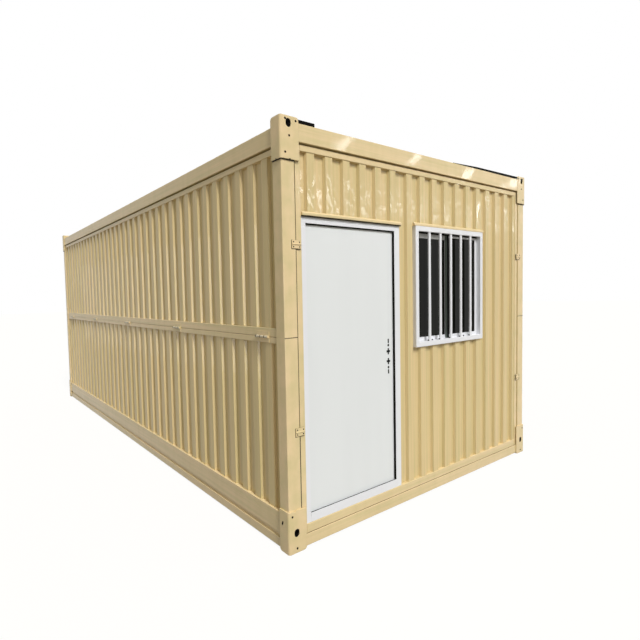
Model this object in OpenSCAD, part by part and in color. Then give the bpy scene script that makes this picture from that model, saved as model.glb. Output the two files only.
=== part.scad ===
// Folding container house: a steel base and roof frame on four corner posts, two long side walls that
// fold at mid height, a front end wall with a door and a barred window, and a plain rear end wall.
// The origin is the centre of the footprint on the ground. The front looks along -Y, and +Z is up.
// Inside the modules, places are measured from the left front corner: s across, d back, z up.

/* [House] */
// Length over the corner fittings, front to rear
house_l = 5900; // [4600:10:8000]
// Width over the corner fittings
house_w = 2990; // [2600:10:3400]
// Height over the corner fittings
house_h = 2680; // [2450:10:3000]
// Height of the fold line of the side walls
fold_z = 1350; // [1250:5:1450]

/* [Corner fittings] */
// Width of a fitting on the end of the house
fitting_w = 143; // [130:1:160]
// Width of a fitting on the side of the house
fitting_d = 94; // [85:1:110]
// Height of a bottom fitting
bottom_fitting_h = 269; // [230:1:310]
// Height of a top fitting
top_fitting_h = 254; // [220:1:300]
// Plate thickness of the fittings
fitting_plate = 9; // [6:0.5:12]
// Rounding of the fittings' free corners
fitting_round = 20; // [12:1:22]
// Bend radius of the fittings at the outer edge
fitting_bend = 14; // [13:0.5:20]
// Width of the oblong lifting hole
slot_w = 40; // [30:1:44]
// Height of the oblong lifting hole
slot_h = 52; // [46:1:60]
// Distance of the oblong holes from the outer side
slot_s = 64; // [56:1:66]
// Drop of the upper oblong hole's centre from the top
top_slot_drop = 41; // [40:1:60]
// Height of the lower oblong hole's centre
bottom_slot_z = 127; // [100:1:150]
// Diameter of the small holes in the fittings
small_hole = 12; // [8:0.5:16]

/* [Frame] */
// Width of a post on the end of the house
post_w = 100; // [85:1:110]
// Wall thickness of the posts
post_wall = 4; // [3:0.5:6]
// Sheet thickness of the beams
beam_t = 4; // [3:0.5:6]
// Flange width of the beams
beam_flange = 60; // [50:1:70]
// Drop of the top side beams below the top of the fittings
top_side_drop = 52; // [45:1:65]
// Drop of the top end beams below the top of the fittings
top_end_drop = 30; // [24:1:40]
// Distance of the top end beams behind the front of the fittings
top_end_recess = 1; // [0.5:0.5:8]
// Height of the top beams
top_beam_h = 110; // [90:1:130]
// Underside of the bottom side beams above the ground
side_beam_z = 10; // [8:1:25]
// Height of the bottom side beams
side_beam_h = 193; // [180:1:210]
// Height of the groove above the underside of the bottom side beams
groove_z = 60; // [50:1:80]
// Height of the groove itself
groove_h = 32; // [20:1:40]
// Depth of the groove
groove_depth = 12; // [6:0.5:20]
// Underside of the bottom end beams above the ground
end_beam_z = 11; // [8:1:18]
// Height of the bottom end beams
end_beam_h = 77; // [70:1:90]

/* [Floor and roof] */
// Top of the floor above the ground
floor_z = 163; // [150:1:165]
// Thickness of the floor panel
floor_t = 18; // [12:1:24]
// Width of a floor joist
joist_w = 50; // [40:1:60]
// Spacing of the floor joists
joist_pitch = 590; // [450:10:800]
// Thickness of the ceiling panel
ceiling_t = 12; // [8:1:20]
// Distance of the roof sheet's edges from the outer sides
roof_inset = 46; // [42:1:60]
// Length of a short seal at the left corners of the roof
seal_l = 132; // [90:1:180]
// Length of a long seal at the right corners of the roof
long_seal_l = 1060; // [800:10:1200]
// Height of a seal
seal_h = 22; // [10:1:24]
// Depth of a seal
seal_d = 16; // [10:1:24]

/* [Walls] */
// Spacing of the ribs in the corrugated sheets
rib_pitch = 158.5; // [140:0.5:175]
// Width of a rib's crest
rib_crest = 64; // [50:1:70]
// Width of a rib's slope
rib_slope = 9; // [6:0.5:16]
// Depth of the ribs
rib_depth = 20; // [15:0.5:24]
// First crest on the side walls, from the front posts
side_first_rib = 105; // [60:1:130]
// First crest over the door, from the end wall's stile
door_first_rib = 89; // [60:1:110]
// First crest beside the door, from the door frame
beside_first_rib = 122; // [60:1:130]
// Sheet thickness of the walls and the roof
sheet_t = 2; // [1.5:0.1:3]
// Distance of the rib crests behind the rails
sheet_recess = 4; // [2:0.5:8]
// Thickness of the inner lining
lining_t = 10; // [6:1:15]
// Recess of the side walls behind the fittings
side_recess = 18; // [17:0.5:24]
// Depth of the side walls' rails
side_rail_d = 60; // [50:1:70]
// Height of the lower side walls' bottom rail
lower_bottom_rail = 37; // [30:1:50]
// Height of the lower side walls' top rail
lower_top_rail = 38; // [32:1:45]
// Height of the upper side walls' bottom rail
upper_bottom_rail = 57; // [50:1:70]
// Height of the upper side walls' top rail
upper_top_rail = 38; // [30:1:50]
// Gap between the upper side walls and the top beams
upper_gap = 11; // [8:1:20]
// Gap between the two halves of a side wall at the fold line
fold_gap = 2; // [2:0.5:6]
// Recess of the end walls behind the fittings
end_recess = 14; // [12:0.5:20]
// Depth of the end walls' frames
end_frame_d = 72; // [66:1:80]
// Width of the end walls' stiles
stile_w = 43; // [32:1:50]
// Gap between the end walls and the posts and top beams
end_gap = 9; // [4:0.5:12]
// Height of the end walls' bottom rails
end_bottom_rail = 60; // [50:1:70]
// Height of the end walls' top rails
end_top_rail = 38; // [32:1:50]

/* [Door] */
// Width over the door frame
door_frame_w = 950; // [850:1:1000]
// Height of the wall over the door frame
over_door_h = 397; // [300:1:450]
// Visible width of the door frame, also of the window frame
frame_face = 38; // [32:1:44]
// Recess of the door frame behind the end wall's stiles
door_recess = 4; // [2:0.5:8]
// Visible width of the door frame at the lock
lock_jamb = 58; // [50:1:64]
// Thickness of the stop in front of the rubber seal
stop_t = 3; // [2:0.5:8]
// Thickness of the rubber seal behind the stop
gasket_t = 3; // [2.5:0.5:5]
// Width of the rubber seal's lip at the top of the door
gasket_lip = 9; // [3:0.5:10]
// Width of the rubber seal's lip at the lock
lock_lip = 16; // [8:0.5:18]
// Width of the rubber seal's lip at the threshold and the hinges
sill_lip = 1; // [0.5:0.5:3]
// Distance from the rubber seal to the closed leaf
gasket_gap = 5.5; // [5.5:0.5:7]
// Overlap of the leaf behind the stop
leaf_overlap = 11; // [8:0.5:12]
// Gap round the leaf in its rebate
leaf_gap = 9; // [8.5:0.5:10]
// Height of the middle of the lock above the ground
lock_z = 1144; // [1000:1:1200]
// Distance of the lock from the edge of the leaf
lock_inset = 75; // [60:1:100]
// Length of a door hinge
door_hinge_l = 110; // [90:1:130]
// Height of the drip caps over the door and the window
cap_h = 26; // [18:1:30]

/* [Window] */
// Distance of the window from the door frame
window_offset = 175; // [150:1:200]
// Width over the window frame
window_w = 947; // [850:1:1000]
// Height over the window frame
window_h = 929; // [850:1:1000]
// Top of the window frame above the top of the door frame
window_rise = 17; // [0:1:30]
// Distance of the window frame behind the front of the fittings
window_recess = 2; // [1:0.5:8]
// Distance of the right sash behind the front of the window frame
sash_recess = 36; // [24:1:40]
// Depth of a window sash
sash_d = 16; // [12:1:18]
// Width of a sash's frame
sash_face = 28; // [24:1:40]
// Thickness of the glass
glass_t = 5; // [4:0.5:8]

/* [Hinges and latches] */
// Length of a fold hinge
fold_hinge_l = 135; // [110:1:170]
// Distance of the first fold hinges from the front
fold_hinge_end = 248; // [200:1:300]
// Spacing of the fold hinges
fold_hinge_pitch = 1305; // [900:5:1500]
// Knuckle radius of the hinges
knuckle_r = 8; // [7:0.5:8]
// Pin radius of the hinges
pin_r = 4; // [3:0.5:5]
// Width of a hinge leaf
hinge_leaf_w = 36; // [28:1:37]
// Thickness of a hinge leaf
hinge_leaf_t = 3; // [2:0.5:4]
// Play in the hinges
hinge_play = 0.5; // [0.3:0.1:0.8]
// Width of a latch plate
latch_w = 72; // [62:1:76]
// Height of a latch plate
latch_h = 52; // [45:1:65]
// Thickness of a latch plate
latch_t = 4; // [3:0.5:5]
// Bolt radius of a latch
latch_bolt_r = 4; // [3:0.5:4]
// Height of the lower latches above the ground
lower_latch_z = 757; // [600:1:800]
// Height of the upper latches above the ground
upper_latch_z = 1921; // [1700:1:1950]

/* [Hidden] */
$fn = 48;
cut = 1;
half_l = house_l / 2;
half_w = house_w / 2;
recess = fitting_plate;
post_d = fitting_d - recess;
post_s = recess + post_w;
post_end_d = fitting_d;
side_roof = house_h - top_side_drop;
side_roof_z = side_roof - top_beam_h;
end_roof = house_h - top_end_drop;
end_roof_z = end_roof - top_beam_h;
side_beam_top = side_beam_z + side_beam_h;
end_beam_top = end_beam_z + end_beam_h;
side_inner = side_recess + side_rail_d;
side_sheet = side_recess + sheet_recess;
lower_top = fold_z - fold_gap;
upper_top = side_roof_z - upper_gap;
end_inner = end_recess + end_frame_d;
end_face = end_inner + lining_t;
end_sheet = end_recess + sheet_recess;
stile_s = post_s + end_gap;
panel_s = stile_s + stile_w;
panel_w = house_w - 2 * panel_s;
end_bottom = end_beam_top;
end_top = end_roof_z - end_gap;
sheet_bottom = end_bottom + end_bottom_rail;
sheet_top = end_top - end_top_rail;
door_s = panel_s;
door_z = sheet_bottom;
door_top = sheet_top - over_door_h;
door_frame_h = door_top - door_z;
door_d = end_recess + door_recess;
stop_d = door_d + stop_t;
leaf_d = stop_d + gasket_t + gasket_gap;
leaf_t = end_face - leaf_d;
leaf_w = door_frame_w - frame_face - lock_jamb + 2 * leaf_overlap;
leaf_h = door_frame_h - 2 * frame_face + 2 * leaf_overlap;
leaf_s = door_s + frame_face - leaf_overlap;
leaf_z = door_z + frame_face - leaf_overlap;
axis_s = leaf_s - leaf_gap / 2;
axis_d = end_face + knuckle_r;
beside_s = door_s + door_frame_w;
window_s = beside_s + window_offset;
window_z = door_top + window_rise - window_h;
opening_w = window_w - 2 * frame_face;
opening_h = window_h - 2 * frame_face;
sash_w = (opening_w + sash_face) / 2;
joist_count = floor((house_l - 2 * end_face - 2 * joist_w) / joist_pitch) + 1;
cream = "#e3cf9e";
white = "#e6e8e5";
rubber = "#1d1d1c";

// Measures from the left front corner of the house
module from_corner() {
    translate([-half_w, -half_l, 0]) children();
}

// Repeats a piece at the right side
module both_sides() {
    children();
    mirror([1, 0, 0]) children();
}

// Repeats a piece at the rear end
module both_ends() {
    children();
    mirror([0, 1, 0]) children();
}

// A block given by its least corner and its size
module block(corner, size) {
    translate(corner) cube(size);
}

// Number of whole ribs on a sheet of a given length
function rib_count(length, first) =
    floor((length - first - rib_crest / 2 - rib_slope) / rib_pitch) + 1;

// Place of the first crest on a sheet with its ribs in the middle
function middle_rib(length) = (length - (floor(length / rib_pitch) - 1) * rib_pitch) / 2;

// Outline of the whole ribs, with their crests at depth 0
function rib_points(count, first) =
    [for (i = [0:count - 1], p = [[-1, 1, rib_depth], [-1, 0, 0], [1, 0, 0], [1, 1, rib_depth]])
        [first + i * rib_pitch + p[0] * (rib_crest / 2 + p[1] * rib_slope), p[2]]];

// End of a sheet: a cut rib where its crest still starts on the sheet, or else a valley
function rib_end(length, crest) = crest < length - 1
    ? [[crest - rib_slope, rib_depth], [crest, 0], [length, 0]]
    : [[length, rib_depth]];

// Profile of a corrugated sheet: along x, with its ribs toward -y
module ribbed_profile(length, first) {
    count = rib_count(length, first);
    front = concat([[0, rib_depth]], rib_points(count, first),
        rib_end(length, first + count * rib_pitch - rib_crest / 2));
    back = [for (i = [len(front) - 1:-1:0]) [front[i][0], front[i][1] + sheet_t]];
    polygon(concat(front, back));
}

// Folded channel of a given height, its web at x = 0 and its flanges toward +x
module channel_profile(height, flange, t) {
    difference() {
        square([flange, height]);
        translate([t, t]) square([flange, height - 2 * t]);
    }
}

// Bottom side beam in section: a channel with a groove folded into its web
module side_beam_profile() {
    difference() {
        square([beam_flange, side_beam_h]);
        translate([0, groove_z]) translate([-cut, 0]) square([groove_depth + cut, groove_h]);
        translate([beam_t, beam_t]) square([beam_flange, groove_z - 2 * beam_t]);
        translate([groove_depth + beam_t, groove_z - 2 * beam_t])
            square([beam_flange, groove_h + 4 * beam_t]);
        translate([beam_t, groove_z + groove_h + beam_t])
            square([beam_flange, side_beam_h - groove_z - groove_h - 2 * beam_t]);
    }
}

// Plan of a corner fitting: two plates at a right angle with a bend at the outer edge
module fitting_profile() {
    inner = fitting_bend - fitting_plate;
    difference() {
        union() {
            translate([fitting_bend, 0]) square([fitting_w - fitting_bend, fitting_plate]);
            translate([0, fitting_bend]) square([fitting_plate, fitting_d - fitting_bend]);
            intersection() {
                translate([fitting_bend, fitting_bend]) circle(fitting_bend);
                square(fitting_bend);
            }
        }
        translate([fitting_bend, fitting_bend]) circle(inner);
        translate([fitting_bend, fitting_plate]) square([fitting_w, fitting_d]);
        translate([fitting_plate, fitting_bend]) square([fitting_w, fitting_d]);
    }
}

// Foot or cap of a corner fitting in plan
module fitting_cap() {
    union() {
        translate([fitting_bend, 0]) square([fitting_w - fitting_bend, fitting_d]);
        translate([0, fitting_bend]) square([fitting_bend, fitting_d - fitting_bend]);
        intersection() {
            translate([fitting_bend, fitting_bend]) circle(fitting_bend);
            square(fitting_bend);
        }
    }
}

// Upright oblong hole through the end of a fitting and the post behind it
module lifting_slot(z) {
    straight = slot_h - slot_w;
    depth = recess + post_wall + 2 * cut;
    for (side = [-1, 1])
        translate([slot_s, -cut, z + side * straight / 2])
            rotate([-90, 0, 0]) cylinder(h = depth, d = slot_w);
    block([slot_s - slot_w / 2, -cut, z - straight / 2], [slot_w, depth, straight]);
}

// Round hole through the end plate of a fitting
module plate_hole(s, z) {
    translate([s, -cut, z]) rotate([-90, 0, 0]) cylinder(h = fitting_plate + 2 * cut, d = small_hole);
}

// Round hole through the side plate of a fitting
module side_hole(d, z) {
    translate([-cut, d, z]) rotate([0, 90, 0]) cylinder(h = fitting_plate + 2 * cut, d = small_hole);
}

// What the rounding takes off the free lower corners of a fitting
module corner_rounds() {
    translate([fitting_w - fitting_round, 0, fitting_round]) rotate([-90, 0, 0]) difference() {
        translate([0, 0, -cut]) cube([fitting_round + cut, fitting_round + cut, fitting_d + 2 * cut]);
        translate([0, 0, -2 * cut]) cylinder(h = fitting_d + 4 * cut, r = fitting_round);
    }
    translate([0, fitting_d - fitting_round, fitting_round]) rotate([0, 90, 0]) difference() {
        translate([0, 0, -cut]) cube([fitting_round + cut, fitting_round + cut, fitting_w + 2 * cut]);
        translate([0, 0, -2 * cut]) cylinder(h = fitting_w + 4 * cut, r = fitting_round);
    }
}

module bottom_fitting() {
    difference() {
        union() {
            linear_extrude(bottom_fitting_h) fitting_profile();
            linear_extrude(fitting_plate) fitting_cap();
        }
        lifting_slot(bottom_slot_z);
        plate_hole(slot_s / 2 - 2, bottom_fitting_h - 31);
        plate_hole(slot_s + 1, 28);
        plate_hole(slot_s - 12, bottom_fitting_h);
        side_hole(fitting_d * 0.66, bottom_fitting_h - 83);
        corner_rounds();
    }
}

module top_fitting() {
    translate([0, 0, house_h - top_fitting_h]) difference() {
        union() {
            linear_extrude(top_fitting_h) fitting_profile();
            translate([0, 0, top_fitting_h - fitting_plate]) linear_extrude(fitting_plate) fitting_cap();
        }
        lifting_slot(top_fitting_h - top_slot_drop);
        plate_hole(fitting_w - 22, top_fitting_h - 22);
        plate_hole(slot_s - 24, top_fitting_h - 19);
        plate_hole(slot_s + 5, top_fitting_h - 115);
        plate_hole(slot_s / 2 + 4, 38);
        plate_hole(slot_s + 8, 0);
        side_hole(fitting_d / 2, 0);
        translate([0, 0, top_fitting_h]) mirror([0, 0, 1]) corner_rounds();
    }
}

module bottom_corner_fittings() {
    color(cream) both_ends() both_sides() from_corner() bottom_fitting();
}

module top_corner_fittings() {
    color(cream) both_ends() both_sides() from_corner() top_fitting();
}

// Square tube of a post between two heights
module post(bottom, top) {
    difference() {
        block([recess, recess, bottom], [post_w, post_d, top - bottom]);
        block([recess + post_wall, recess + post_wall, bottom - cut],
            [post_w - 2 * post_wall, post_d - 2 * post_wall, top - bottom + 2 * cut]);
    }
}

// The bend inside a fitting needs a rounded post edge
module post_edge(bottom, top) {
    inner = fitting_bend - fitting_plate;
    translate([recess, recess, bottom - cut]) difference() {
        translate([-cut, -cut, 0]) cube([inner + cut, inner + cut, top - bottom + 2 * cut]);
        translate([inner, inner, -cut]) cylinder(h = top - bottom + 4 * cut, r = inner);
    }
}

module lower_posts() {
    color(cream) both_ends() both_sides() from_corner() difference() {
        post(fitting_plate, fold_z);
        post_edge(fitting_plate, fold_z);
        lifting_slot(bottom_slot_z);
    }
}

module upper_posts() {
    color(cream) both_ends() both_sides() from_corner() difference() {
        post(fold_z, house_h - fitting_plate);
        post_edge(fold_z, house_h - fitting_plate);
        lifting_slot(house_h - top_slot_drop);
    }
}

// Runs a section along the left side, between the posts
module along_side(z) {
    from_corner() translate([recess, house_l - post_end_d, z]) rotate([90, 0, 0])
        linear_extrude(house_l - 2 * post_end_d) children();
}

// Runs a section along the front, between the posts
module along_front(z) {
    from_corner() translate([post_s, recess, z]) rotate([90, 0, 90])
        linear_extrude(house_w - 2 * post_s) children();
}

module bottom_side_beams() {
    color(cream) both_sides() along_side(side_beam_z) side_beam_profile();
}

module bottom_end_beams() {
    color(cream) both_ends() along_front(end_beam_z) channel_profile(end_beam_h, beam_flange, beam_t);
}

module top_side_beams() {
    color(cream) both_sides() along_side(side_roof_z) channel_profile(top_beam_h, beam_flange, beam_t);
}

module top_end_beams() {
    color(cream) both_ends() from_corner() translate([fitting_w, top_end_recess, end_roof_z]) rotate([90, 0, 90])
        linear_extrude(house_w - 2 * fitting_w) channel_profile(top_beam_h, beam_flange, beam_t);
}

module floor_joists() {
    reach = recess + groove_depth + beam_t;
    height = floor_z - floor_t - side_beam_z - beam_t;
    first = (house_l - (joist_count - 1) * joist_pitch - joist_w) / 2;
    color("dimgray") from_corner() for (i = [0:joist_count - 1])
        translate([reach, first + i * joist_pitch, side_beam_z + beam_t]) rotate([90, 0, 90])
            linear_extrude(house_w - 2 * reach) channel_profile(height, joist_w, beam_t);
}

module floor_panel() {
    inset = recess + beam_flange + 2;
    color("tan") from_corner() block([inset, end_face + 2, floor_z - floor_t],
        [house_w - 2 * inset, house_l - 2 * end_face - 4, floor_t]);
}

module roof_sheet() {
    end = recess + beam_flange + 2;
    length = house_l - 2 * end;
    color(cream) difference() {
        from_corner() translate([roof_inset, end, side_roof + rib_depth + sheet_t]) rotate([90, 0, 90])
            mirror([0, 1, 0]) linear_extrude(house_w - 2 * roof_inset)
                ribbed_profile(length, middle_rib(length));
        both_ends() both_sides() from_corner() block([0, 0, side_roof - cut],
            [fitting_w + 2, fitting_d + 2, rib_depth + sheet_t + 2 * cut]);
    }
}

// A short block beside the left fitting, and a long strip that thins out from the right fitting
module roof_edge_seals() {
    right = house_w - fitting_w - 1;
    left = right - long_seal_l;
    color(rubber) both_ends() from_corner() {
        block([fitting_w + 1, top_end_recess, end_roof], [seal_l, seal_d, seal_h]);
        translate([0, top_end_recess + seal_d, end_roof]) rotate([90, 0, 0]) linear_extrude(seal_d)
            polygon([[left, 0], [right, 0], [right, seal_h], [left + long_seal_l / 3, seal_h * 0.75], [left, 3]]);
    }
}

module ceiling_panel() {
    inset = recess + beam_t + 1;
    color("whitesmoke") from_corner() block([inset, end_face + 2, side_roof_z + beam_t],
        [house_w - 2 * inset, house_l - 2 * end_face - 4, ceiling_t]);
}

// Rail of the left side wall: its underside, its height and its distance behind the fittings
module side_rail(bottom, height, front) {
    from_corner() block([front, post_end_d, bottom],
        [side_inner - front, house_l - 2 * post_end_d, height]);
}

module side_lower_rails() {
    side_rail(side_beam_top, lower_bottom_rail, recess);
    side_rail(lower_top - lower_top_rail, lower_top_rail, side_recess);
}

module side_upper_rails() {
    side_rail(fold_z, upper_bottom_rail, side_recess);
    side_rail(upper_top - upper_top_rail, upper_top_rail, side_recess);
}

// Corrugated sheet of the left side wall between two heights
module side_sheet(bottom, top) {
    length = house_l - 2 * post_end_d;
    from_corner() translate([side_sheet, post_end_d, bottom]) mirror([1, 0, 0]) rotate([0, 0, 90])
        linear_extrude(top - bottom) ribbed_profile(length, side_first_rib);
}

module side_lower_sheet() {
    side_sheet(side_beam_top + lower_bottom_rail, lower_top - lower_top_rail);
}

module side_upper_sheet() {
    side_sheet(fold_z + upper_bottom_rail, upper_top - upper_top_rail);
}

// Lining board of the left side wall between two heights
module side_lining(bottom, top) {
    from_corner() block([side_inner, end_face + 2, bottom],
        [lining_t, house_l - 2 * end_face - 4, top - bottom]);
}

module side_lower_lining() {
    side_lining(floor_z, lower_top);
}

module side_upper_lining() {
    side_lining(fold_z, upper_top);
}

module left_lower_rails() {
    color(cream) side_lower_rails();
}

module left_lower_sheet() {
    color(cream) side_lower_sheet();
}

module left_lower_lining() {
    color("whitesmoke") side_lower_lining();
}

module left_upper_rails() {
    color(cream) side_upper_rails();
}

module left_upper_sheet() {
    color(cream) side_upper_sheet();
}

module left_upper_lining() {
    color("whitesmoke") side_upper_lining();
}

module left_fold_hinges() {
    color(cream) side_fold_hinges();
}

module right_lower_rails() {
    color(cream) mirror([1, 0, 0]) side_lower_rails();
}

module right_lower_sheet() {
    color(cream) mirror([1, 0, 0]) side_lower_sheet();
}

module right_lower_lining() {
    color("whitesmoke") mirror([1, 0, 0]) side_lower_lining();
}

module right_upper_rails() {
    color(cream) mirror([1, 0, 0]) side_upper_rails();
}

module right_upper_sheet() {
    color(cream) mirror([1, 0, 0]) side_upper_sheet();
}

module right_upper_lining() {
    color("whitesmoke") mirror([1, 0, 0]) side_upper_lining();
}

module right_fold_hinges() {
    color(cream) mirror([1, 0, 0]) side_fold_hinges();
}

// Pinned half of a butt hinge: two end knuckles, a leaf toward -x and the pin along z
module hinge_pin_half(length) {
    middle = length / 3 + 2 * hinge_play;
    difference() {
        union() {
            cylinder(h = length, r = knuckle_r, center = true);
            block([-hinge_leaf_w, -knuckle_r, -length / 2], [hinge_leaf_w, hinge_leaf_t, length]);
        }
        difference() {
            cylinder(h = middle, r = knuckle_r + hinge_play, center = true);
            cylinder(h = middle + 2 * cut, r = pin_r, center = true);
        }
    }
}

// Free half of a butt hinge: the middle knuckle on the pin and a leaf toward +x
module hinge_free_half(length) {
    outer = length / 3;
    difference() {
        union() {
            cylinder(h = outer, r = knuckle_r, center = true);
            block([0, -knuckle_r, -length / 2], [hinge_leaf_w, hinge_leaf_t, length]);
        }
        cylinder(h = length + 2 * cut, r = pin_r + hinge_play, center = true);
        for (side = [-1, 1])
            translate([0, 0, side * (outer + cut) ]) cylinder(h = outer + 2 * cut, r = knuckle_r + hinge_play,
                center = true);
    }
}

// Places a hinge on the left side wall at a distance from the front
module on_fold_line(d) {
    from_corner() translate([side_recess - knuckle_r, d, fold_z - fold_gap / 2]) rotate([90, -90, 0]) children();
}

module side_fold_hinges() {
    last = floor((house_l - 2 * fold_hinge_end) / fold_hinge_pitch);
    for (i = [0:last])
        on_fold_line(fold_hinge_end + i * fold_hinge_pitch) {
            hinge_pin_half(fold_hinge_l);
            hinge_free_half(fold_hinge_l);
        }
}

module end_wall_stiles() {
    color(cream) both_ends() both_sides() from_corner()
        block([stile_s, end_recess, end_bottom], [stile_w, end_frame_d, end_top - end_bottom]);
}

module end_wall_rails() {
    color(cream) both_ends() from_corner() {
        block([panel_s, end_recess, end_bottom], [panel_w, end_frame_d, end_bottom_rail]);
        block([panel_s, end_recess, sheet_top], [panel_w, end_frame_d, end_top_rail]);
    }
}

// Corrugated sheet in an end wall, from a place across and a height up to the top rail
module end_sheet_panel(s, width, bottom, first) {
    from_corner() translate([s, end_sheet, bottom])
        linear_extrude(sheet_top - bottom) ribbed_profile(width, first);
}

// Space that the window frame fills in the front wall
module window_space() {
    from_corner() block([window_s, 0, window_z], [window_w, end_face + cut, window_h]);
}

module front_sheet_over_door() {
    color(cream) end_sheet_panel(door_s, door_frame_w, door_top, door_first_rib);
}

module front_sheet_beside_door() {
    color(cream) difference() {
        end_sheet_panel(beside_s, panel_s + panel_w - beside_s, sheet_bottom, beside_first_rib);
        window_space();
    }
}

module front_lining_over_door() {
    color("whitesmoke") from_corner() block([stile_s, end_inner, door_top],
        [beside_s - stile_s, lining_t, end_top - door_top]);
}

module front_lining_beside_door() {
    color("whitesmoke") difference() {
        from_corner() block([beside_s, end_inner, end_bottom],
            [house_w - stile_s - beside_s, lining_t, end_top - end_bottom]);
        window_space();
    }
}

module rear_sheet() {
    color(cream) mirror([0, 1, 0]) end_sheet_panel(panel_s, panel_w, sheet_bottom, middle_rib(panel_w));
}

module rear_lining() {
    color("whitesmoke") mirror([0, 1, 0]) from_corner() block([stile_s, end_inner, end_bottom],
        [house_w - 2 * stile_s, lining_t, end_top - end_bottom]);
}

// Latch across the gap between a post and an end wall: a plate with a sliding bolt
module wall_latch(z) {
    middle = post_s + end_gap / 2;
    translate([middle - latch_w / 2, recess - latch_t, z - latch_h / 2]) cube([latch_w, latch_t, latch_h]);
    translate([middle - latch_w / 2, latch_bolt_r + 0.5, z]) rotate([0, 90, 0])
        cylinder(h = latch_w, r = latch_bolt_r);
}

module wall_latches() {
    color(cream) both_ends() both_sides() from_corner() {
        wall_latch(lower_latch_z);
        wall_latch(upper_latch_z);
    }
}

// Rectangular ring in the front wall: outer corner, outer size, width of each side
module wall_ring(corner, size, face) {
    difference() {
        block(corner, size);
        block([corner[0] + face, corner[1] - cut, corner[2] + face],
            [size[0] - 2 * face, size[1] + 2 * cut, size[2] - 2 * face]);
    }
}

module door_frame() {
    color(white) from_corner() difference() {
        block([door_s, door_d, door_z], [door_frame_w, end_face - door_d, door_frame_h]);
        block([door_s + frame_face, door_d - cut, door_z + frame_face],
            [door_frame_w - frame_face - lock_jamb, end_face, door_frame_h - 2 * frame_face]);
        block([leaf_s - leaf_gap, stop_d, leaf_z - leaf_gap],
            [leaf_w + 2 * leaf_gap, end_face, leaf_h + 2 * leaf_gap]);
    }
}

// The seal stands out inside the frame at the top and most at the lock
module door_gasket() {
    color(rubber) from_corner() difference() {
        block([leaf_s, stop_d, leaf_z], [leaf_w, gasket_t, leaf_h]);
        block([door_s + frame_face + sill_lip, stop_d - cut, door_z + frame_face + sill_lip],
            [door_frame_w - frame_face - lock_jamb - sill_lip - lock_lip, gasket_t + 2 * cut,
                door_frame_h - 2 * frame_face - gasket_lip - sill_lip]);
    }
}

// Repeats a door hinge up the edge of the leaf
module at_door_hinges() {
    for (share = [0.12, 0.5, 0.88])
        from_corner() translate([axis_s, axis_d, leaf_z + share * leaf_h]) children();
}

module door_frame_hinges() {
    color("silver") at_door_hinges() hinge_pin_half(door_hinge_l);
}

module door_leaf_hinges() {
    color("silver") at_door_hinges() hinge_free_half(door_hinge_l);
}

// Holes of the lock above and below its middle: a slot, a round hole and a keyhole
module lock_holes(side) {
    depth = leaf_t / 2;
    translate([-7.5, -cut, side * 112.5 - 16]) cube([15, depth + cut, 32]);
    translate([0, -cut, side * 81.5]) rotate([-90, 0, 0]) cylinder(h = depth + cut, d = 20);
    translate([-8, -cut, side * 36.5 - 23]) cube([16, depth + cut, 46]);
    translate([-20, -cut, side * 36.5 - 8]) cube([40, depth + cut, 16]);
}

module door_leaf() {
    color(white) from_corner() difference() {
        block([leaf_s, leaf_d, leaf_z], [leaf_w, leaf_t, leaf_h]);
        translate([leaf_s + leaf_w - lock_inset, leaf_d, lock_z]) {
            lock_holes(1);
            lock_holes(-1);
        }
    }
}

module window_frame() {
    color(white) from_corner() wall_ring([window_s, window_recess, window_z],
        [window_w, end_face - window_recess, window_h], frame_face);
}

// Places a sash's outline: the right one in the front track, the left one behind it
module at_sash(i) {
    from_corner() translate([window_s + frame_face + i * (opening_w - sash_w),
        window_recess + sash_recess + (1 - i) * (sash_d + 2), window_z + frame_face]) children();
}

module window_sashes() {
    color(white) for (i = [0, 1])
        at_sash(i) wall_ring([0, 0, 0], [sash_w, sash_d, opening_h], sash_face);
}

module window_glass() {
    color("#2a3033") for (i = [0, 1])
        at_sash(i) block([sash_face, (sash_d - glass_t) / 2, sash_face],
            [sash_w - 2 * sash_face, glass_t, opening_h - 2 * sash_face]);
}

// Drip cap on the crests of the front wall: a bar with a sloping top
module drip_cap(s, width, z, front) {
    reach = end_sheet - front;
    from_corner() translate([s, front, z]) rotate([90, 0, 90]) linear_extrude(width)
        polygon([[0, 0], [reach, 0], [reach, cap_h], [reach - 4, cap_h], [0, cap_h * 0.6]]);
}

module drip_caps() {
    color(cream) {
        drip_cap(door_s, door_frame_w + 9, door_top + 7, 2);
        drip_cap(window_s - 12, window_w + 24, window_z + window_h, 1);
    }
}

bottom_corner_fittings();
top_corner_fittings();
bottom_side_beams();
bottom_end_beams();
floor_joists();
floor_panel();
top_side_beams();
top_end_beams();
roof_sheet();
roof_edge_seals();
ceiling_panel();
lower_posts();
upper_posts();
left_lower_rails();
left_lower_sheet();
left_lower_lining();
left_upper_rails();
left_upper_sheet();
left_upper_lining();
left_fold_hinges();
right_lower_rails();
right_lower_sheet();
right_lower_lining();
right_upper_rails();
right_upper_sheet();
right_upper_lining();
right_fold_hinges();
end_wall_stiles();
end_wall_rails();
front_sheet_over_door();
front_sheet_beside_door();
front_lining_over_door();
front_lining_beside_door();
rear_sheet();
rear_lining();
wall_latches();
door_frame();
door_gasket();
door_frame_hinges();
door_leaf();
door_leaf_hinges();
window_frame();
window_sashes();
window_glass();
drip_caps();
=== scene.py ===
"""Dresses the folding container house: paint, glass, window bars, welds, seals, painted shade and
highlight, and inner trim.
"""
import math

import bmesh
import bpy
from bpy.props import FloatProperty, FloatVectorProperty, IntProperty, PointerProperty
from mathutils import Matrix, Vector


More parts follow.
